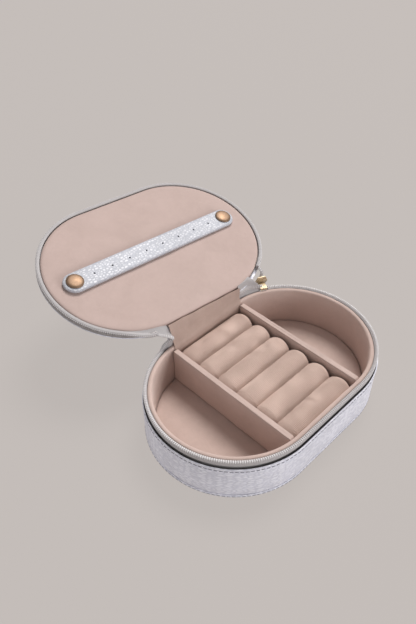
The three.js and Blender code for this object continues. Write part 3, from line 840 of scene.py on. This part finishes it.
# ---- Snaps ----
# Each snap is a plated brass stud riveted through the lining and a domed cap pressed into the strap.
def plated_group():
    """Plated brass: soft brushing, faint tarnish in patches and a few rubbed places."""
    inputs = {"Tone": (0.85, 0.62, 0.36, 1), "Worn": (0.95, 0.78, 0.55, 1)}
    tree, given, place = start_group("plated_brass", inputs)
    patches = noise_at(tree, place, 260.0, 4.0)
    brushed = noise_at(tree, place, 3200.0, 2.0)
    colour = mix_colour(tree, spread(tree, patches, 0.42, 0.72), given["Tone"], given["Worn"])
    worn = spread(tree, patches, 0.3, 0.7, 0.42, 0.52)
    rough = add_share(tree, worn, brushed, 0.06)
    return finish_group(tree, colour, rough, brushed)


plated_brass = plated_group()
snap_gold = make_material(
    "snap_gold", plated_brass, {"Tone": (0.245, 0.16, 0.105, 1), "Worn": (0.275, 0.185, 0.128, 1)},
    0.1, 0.03 * MM, Metallic=1.0,
)
CAP_RADIUS = 5.9
cap_base = face - 0.3
CAP_RISE = 1.4
CAP_RIM = 0.6


def turn_part(name, outline, centre, steps):
    """A round metal part: an outline turned about the snap's middle line, and then put on the open lid."""
    part = draw(name, [centre + Vector((out * MM, 0, z * MM)) for out, z in outline])
    edit_all()
    bpy.ops.mesh.spin(steps=steps, angle=2 * math.pi, center=centre, axis=(0, 0, 1))
    return open_lid(tidy_mesh(part, 50))


cap_outline = raised(cap_base, [
    (0, 1.3), (2.1, 1.3), (2.1, 0), (5.3, 0), (5.75, -0.05), (CAP_RADIUS, -0.25), (5.8, -0.45),
    (5.5, -CAP_RIM),
])
cap_outline += [
    (5.3 * math.cos(t), cap_base - CAP_RIM - (CAP_RISE - CAP_RIM) * math.sin(t))
    for t in (math.pi / 2 * i / 7 for i in range(1, 8))
]
stud_outline = [
    (0, LID_PAD_BOTTOM - 0.35), (2.0, LID_PAD_BOTTOM - 0.35), (2.1, LID_PAD_BOTTOM - 0.6),
    (1.8, lid_plane - 0.6), (2.05, lid_plane - 0.9), (1.6, lid_plane - 1.1), (0, lid_plane - 1.1),
]
for end, label, body in ((-1, "left", "strap"), (1, "right", "strap_pivot")):
    centre = STRAP_CENTRE + Vector((end * SNAP_HALF, 0, 0))
    cap = turn_part(f"snap_dome_{label}", cap_outline, centre, 40)
    finish_piece(cap, snap_gold, body, [f"snap_cap_{label}"])
    stud = turn_part(f"snap_post_{label}", stud_outline, centre, 24)
    finish_piece(stud, snap_gold, "lid", [f"snap_stud_{label}"])


# ---- Cloth hinge ----
# Between the base and the lid run a velvet strip inside and a leather strip outside, sewn to both. Beside
# them the two zip tapes stay joined on the right, and on the left their open ends meet in a point.
def opened(x, y, z):
    """Where a place on the shut lid, in millimetres, is once the lid is open."""
    return opening @ Vector((x * MM, y * MM, z * MM))


def curve_through(points, count):
    """Evenly numbered places on a smooth line through the points."""
    ends = [2 * points[0] - points[1], *points, 2 * points[-1] - points[-2]]
    line = []
    for i in range(count):
        run = i / (count - 1) * (len(points) - 1)
        k = min(int(run), len(points) - 2)
        t = run - k
        a, b, c, d = ends[k:k + 4]
        bend, twist = 2 * a - 5 * b + 4 * c - d, 3 * b - a - 3 * c + d
        line.append(0.5 * (2 * b + (c - a) * t + bend * t * t + twist * t ** 3))
    return line


def sheet_through(name, lines, thickness):
    """A sheet whose cross lines are given: a grid with each of its lines laid along one of them."""
    let_go()
    rows, columns = len(lines), len(lines[0])
    bpy.ops.mesh.primitive_grid_add(x_subdivisions=columns - 1, y_subdivisions=rows - 1, size=1)
    cloth = bpy.context.object
    cloth.name = name
    for i, vertex in enumerate(cloth.data.vertices):
        vertex.co = lines[i // columns][i % columns]
    thick = cloth.modifiers.new("thickness", "SOLIDIFY")
    thick.thickness, thick.offset = thickness, 0.0
    bpy.ops.object.modifier_apply(modifier=thick.name)
    bpy.ops.object.mode_set(mode="EDIT")
    return tidy_mesh(cloth, 50)


def at_rim(inset, height, x):
    """The back of the rim at x, in millimetres: straight along the hinge, then round the ends."""
    radius = END_RADIUS / MM - inset
    over = max(0.0, abs(x) - END_X / MM)
    return Vector((x * MM, math.sqrt(radius * radius - over * over) * MM, height * MM))


# The strips' sections, as distances back from the middle and heights. The lid's are those of the shut lid.
INNER_ON_BASE = ((49.75, 20), (49.75, 27), (49.8, 32.3), (50.6, 34.6), (51.6, 38))
INNER_ON_LID = ((56.1, 37.6), (55.9, 39.2))
OUTER_ON_BASE = ((56.95, 22), (56.95, 27.5), (56.9, 30.5), (56.6, 36))
OUTER_ON_LID = ((56.6, 42.9), (54.5, 43.1), (50, 42.9), (45.5, 42.8))
HINGE_LINES = 25
half_hinge = HINGE_HALF / MM


def hinge_lines(on_base, on_lid, count):
    """The cross lines of a strip that is sewn to the base and the lid, from its left to its right."""
    lines = []
    for i in range(HINGE_LINES):
        x = -half_hinge + 2 * half_hinge * i / (HINGE_LINES - 1)
        low = [Vector((x * MM, y * MM, z * MM)) for y, z in on_base]
        lines.append(curve_through([*low, *(opened(x, y, z) for y, z in on_lid)], count))
    return lines


inner_lines = hinge_lines(INNER_ON_BASE, INNER_ON_LID, 15)
inner_strip = sheet_through("velvet_hinge", inner_lines, thickness=0.7 * MM)
soften(inner_strip, 0.5 * MM, 9 * MM)
hinge_velvet = velvet_dye_and_shade("hinge_velvet", (0.465, 0.346, 0.297, 1), (0.39, 0.286, 0.244, 1))
finish_piece(inner_strip, hinge_velvet, None, ["hinge_inner_panel"])
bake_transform(inner_strip)

outer_lines = hinge_lines(OUTER_ON_BASE, OUTER_ON_LID, 22)
outer_strip = sheet_through("leather_hinge", outer_lines, thickness=0.8 * MM)
finish_piece(outer_strip, shell_leather, None, ["hinge_outer_panel"])
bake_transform(outer_strip)

# Right of the strips: the closed end of the zip, from the strips' edge to the slider.
chain_start = Vector((half_hinge * MM, 52.6 * MM, 40.5 * MM))
SLIDER_ANGLE = 62.5
chain_end = rim_point(2.2, coil_top + 1.0, SLIDER_ANGLE)
chain_turn = Vector((45 * MM, 53.2 * MM, 37.6 * MM))
chain = curve_through([chain_start, chain_turn, chain_end], 13)
TAIL_FOOT_X = 51.0
TAIL_HEAD_X = 44.5
tail_lines = []
for i, middle_point in enumerate(chain[:-1]):
    share = i / (len(chain) - 2)
    foot_x = half_hinge + (TAIL_FOOT_X - half_hinge) * share
    head_x = half_hinge + (TAIL_HEAD_X - half_hinge) * share
    foot = at_rim(3.0, 31.5, foot_x)
    rim = at_rim(2.6, coil_foot, foot_x)
    lid_rim = at_rim(2.4, lid_plane + 1.2, head_x)
    lid_foot = at_rim(2.3, lid_plane + 3.4, head_x)
    line = [foot, rim, middle_point, opening @ lid_rim, opening @ lid_foot]
    tail_lines.append(curve_through(line, 13))
tail = sheet_through("closed_zip_tapes", tail_lines, thickness=0.5 * MM)
finish_piece(tail, tape_material, None, ["zip_tail"])
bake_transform(tail)


def place_along(line, pitch, inward):
    """Places at even steps on a line, each turned so that its X runs along the line and its Y inwards."""
    places, carried = [], pitch / 2
    for a, b in zip(line, line[1:]):
        step = (b - a).length
        along = (b - a).normalized()
        up = along.cross(inward).normalized()
        across = up.cross(along)
        turn = Matrix((along, across, up)).transposed().to_4x4()
        while carried < step:
            places.append(Matrix.Translation(a + along * carried) @ turn)
            carried += pitch
        carried -= step
    return places


INWARD = Vector((0, -1, 0.15))
FACING = Vector((-0.35, -0.5, 0.8))
closed_places = place_along(chain, TOOTH_PITCH, INWARD)
closed_coil = copy_to(closed_places, make_tooth(1.5 * MM, 3.0 * MM), "closed_coil")
finish_piece(closed_coil, coil_material, None)
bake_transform(closed_coil)
LOOSE_HALF_WIDTH = 1.0
LOOSE_POINTS = 12


def loose_run(name, line):
    """A free end of one half of the zip: a narrow tape, its flat side up, with its coil along the middle."""
    ribbon_lines = []
    for i, at in enumerate(line):
        along = (line[min(i + 1, len(line) - 1)] - line[max(i - 1, 0)]).normalized()
        across = along.cross(FACING).normalized()
        half_tape = across * LOOSE_HALF_WIDTH * MM
        ribbon_lines.append([at - half_tape, at, at + half_tape])
    ribbon = sheet_through(f"{name}_tape", ribbon_lines, 0.9 * MM)
    finish_piece(ribbon, tape_material, None)
    teeth = copy_to(place_along(line, TOOTH_PITCH, FACING), make_tooth(1.3 * MM, 2.0 * MM), f"{name}_coil")
    finish_piece(teeth, coil_material, None)
    for piece in (ribbon, teeth):
        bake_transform(piece)
    return ribbon


# Left of the strips: the two open ends of the zip come towards each other and meet in a point.
meeting = Vector((-31.0 * MM, 51.4 * MM, 40.8 * MM))
base_end = at_rim(coil_middle, (coil_foot + coil_top) / 2, ZIP_LEFT_X / MM)
lid_end = opening @ (at_rim(lid_coil_middle, lid_plane + LID_COIL_HEIGHT, ZIP_LEFT_X / MM) + SAG)
base_run = curve_through([base_end, Vector((-36 * MM, 54.6 * MM, 36.2 * MM)), meeting], LOOSE_POINTS)
lid_run = curve_through([lid_end, Vector((-35.5 * MM, 53.6 * MM, 44.2 * MM)), meeting], LOOSE_POINTS)
base_loose = loose_run("left_base_end", base_run)
loose_run("left_lid_end", lid_run)
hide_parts("zip_end_tab")

# The lid's own tape spans from the pad's edge to that sagging end.
WEB_LINES = 9
WEB_POINTS = 6
LID_WEB_LEFT_X = -58
LID_WEB_ON_RIM = 0.7
LID_SEAM_LENGTH = 26
LID_RIM_LENGTH = 18
sag_lines = []
for i in range(WEB_LINES):
    share = i / (WEB_LINES - 1)
    head = opened(*(at_rim(3.0, lid_plane + 1.6, LID_WEB_LEFT_X + LID_SEAM_LENGTH * share) / MM))
    if share < LID_WEB_ON_RIM:
        x = LID_WEB_LEFT_X + LID_RIM_LENGTH * share / LID_WEB_ON_RIM
        tail_at = opening @ (at_rim(1.3, lid_plane + 0.9, x) + sag_at(x * MM))
    else:
        tail_at = lid_run[int((share - LID_WEB_ON_RIM) / 0.3 * (LOOSE_POINTS - 1))]
    slack = (head + tail_at) / 2 - Vector((0, 0, 0.3 * MM))
    sag_lines.append(curve_through([head, slack, tail_at], WEB_POINTS))
# The base's tape does the same from its seam, which lies down behind the velvet wall.
TAPE_SEAM_DEPTH = 4.0
BASE_WEB_LEFT_X = -46
BASE_WEB_ON_RIM = 3
BASE_SEAM_LENGTH = 14.5
base_lines = []
for i in range(WEB_LINES):
    seam_x = BASE_WEB_LEFT_X + BASE_SEAM_LENGTH * i / (WEB_LINES - 1)
    head = at_rim(3.1, lining_top - TAPE_SEAM_DEPTH, seam_x)
    if i < BASE_WEB_ON_RIM:
        left_end = at_rim(coil_middle, coil_foot + 0.4, BASE_WEB_LEFT_X)
        at = base_end.lerp(left_end, 1 - i / BASE_WEB_ON_RIM)
    else:
        at = base_run[int((i - BASE_WEB_ON_RIM) / 5 * (LOOSE_POINTS - 1))]
    base_lines.append(curve_through([head, (head + at) / 2, at], WEB_POINTS))
for web_name, web_lines, web_rests in (
    ("left_lid_tape", sag_lines, "velvet_lid_pad"), ("left_base_tape", base_lines, "velvet_wall"),
):
    web = sheet_through(web_name, web_lines, thickness=0.5 * MM)
    finish_piece(web, tape_material, None)
    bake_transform(web)

# On the right, the lid half's loose end comes down behind the pull, which hides where it meets the slider.
right_lid_end = opening @ rim_point(lid_coil_middle, lid_plane + LID_COIL_HEIGHT, ZIP_CUT_ANGLE)
right_turn = rim_point(-6.0, 42.5, SLIDER_ANGLE - 1.5)
right_foot = rim_point(-5.6, 35.5, SLIDER_ANGLE)
loose_run("right_lid_end", curve_through([right_lid_end, right_turn, right_foot], LOOSE_POINTS))


# ---- Slider and pull ----
# A small plated slider joins the two coils at the right of the hinge, and a flat pull hangs on its loop.
pull_gold = make_material(
    "pull_brass", plated_brass, {"Tone": (0.6, 0.49, 0.34, 1), "Worn": (0.78, 0.68, 0.5, 1)},
    0.1, 0.03 * MM, Metallic=1.0,
)


def polish(node_name, name, material, body, edge):
    """Takes a metal part's own shape, cleans it and rounds its edges."""
    let_go()
    part = frame["nodes"][node_name].copy()
    part.data = part.data.copy()
    for key in list(part.keys()):
        del part[key]
    bpy.context.scene.collection.objects.link(part)
    part.parent = None
    part.name = name
    part.select_set(True)
    bpy.context.view_layer.objects.active = part
    edit_all()
    bpy.ops.mesh.remove_doubles(threshold=0.005 * MM)
    bpy.ops.mesh.dissolve_limited(angle_limit=math.radians(2))
    bpy.ops.object.mode_set(mode="OBJECT")
    rounded = part.modifiers.new("edges", "BEVEL")
    rounded.width, rounded.segments, rounded.limit_method = edge, 2, "ANGLE"
    bpy.ops.object.modifier_apply(modifier=rounded.name)
    bpy.ops.object.shade_smooth_by_angle(angle=math.radians(40))
    return finish_piece(part, material, body, [node_name])


METAL_EDGE = 0.12 * MM
polish("zip_slider", "slider_body", pull_gold, "zip_slider", METAL_EDGE)
polish("zip_pull", "pull_tab", pull_gold, "zip_pull", METAL_EDGE)


# ---- Floor, light and camera ----
# A plain pale floor and soft studio light, with the camera above the left front corner of the case.
def plain_floor():
    let_go()
    bpy.ops.mesh.primitive_plane_add(size=8, location=(0, 0, 0))
    floor = bpy.context.object
    floor.name = "studio_floor"
    material = bpy.data.materials.new("studio_paper")
    material.use_nodes = True
    shader = material.node_tree.nodes["Principled BSDF"]
    shader.inputs["Base Color"].default_value = (0.06, 0.055, 0.053, 1)
    shader.inputs["Emission Color"].default_value = (0.545, 0.503, 0.479, 1)
    shader.inputs["Emission Strength"].default_value = 0.89
    shader.inputs["Roughness"].default_value = 0.95
    shader.inputs["Specular IOR Level"].default_value = 0.0
    floor.data.materials.append(material)


def area_light(name, at, target, size, power, colour):
    light = bpy.data.lights.new(name, "AREA")
    light.shape, light.size, light.energy, light.color = "DISK", size, power, colour
    lamp = bpy.data.objects.new(name, light)
    lamp.location = at
    lamp.rotation_euler = (Vector(target) - Vector(at)).to_track_quat("-Z", "Y").to_euler()
    bpy.context.scene.collection.objects.link(lamp)


plain_floor()
area_light("key", (1.9, 0.6, 3.5), (0, 0.05, 0.03), size=1.9, power=135, colour=(1.0, 0.985, 0.97))
area_light("low_right", (0.9, -2.4, 0.5), (0, 0, 0.02), size=1.4, power=28, colour=(0.97, 0.98, 1.0))
world = bpy.data.worlds.new("studio")
world.use_nodes = True
sky = world.node_tree
direction = node(sky, "ShaderNodeTexCoord").outputs["Generated"]
steepness = node(sky, "ShaderNodeSeparateXYZ", {0: direction}).outputs["Z"]
sky.links.new(spread(sky, steepness, 0.05, 0.5, 1.12, 0.34), sky.nodes["Background"].inputs["Strength"])
sky.nodes["Background"].inputs["Color"].default_value = (1.0, 0.985, 0.99, 1)
bpy.context.scene.world = world

SENSOR_WIDTH = 36.0
FOCAL_LENGTH = 35.15
LOOK_DOWN = 42.53
LOOK_RIGHT = 44.94
lens = bpy.data.cameras.new("camera")
lens.sensor_width, lens.lens = SENSOR_WIDTH, FOCAL_LENGTH
lens.clip_start = 0.01
camera = bpy.data.objects.new("camera", lens)
camera.location = (-0.21255, -0.16208, 0.31992)
camera.rotation_euler = (math.radians(90 - LOOK_DOWN), 0, math.radians(-LOOK_RIGHT))
bpy.context.scene.collection.objects.link(camera)
bpy.context.scene.camera = camera
bpy.context.scene.view_settings.view_transform = "Standard"
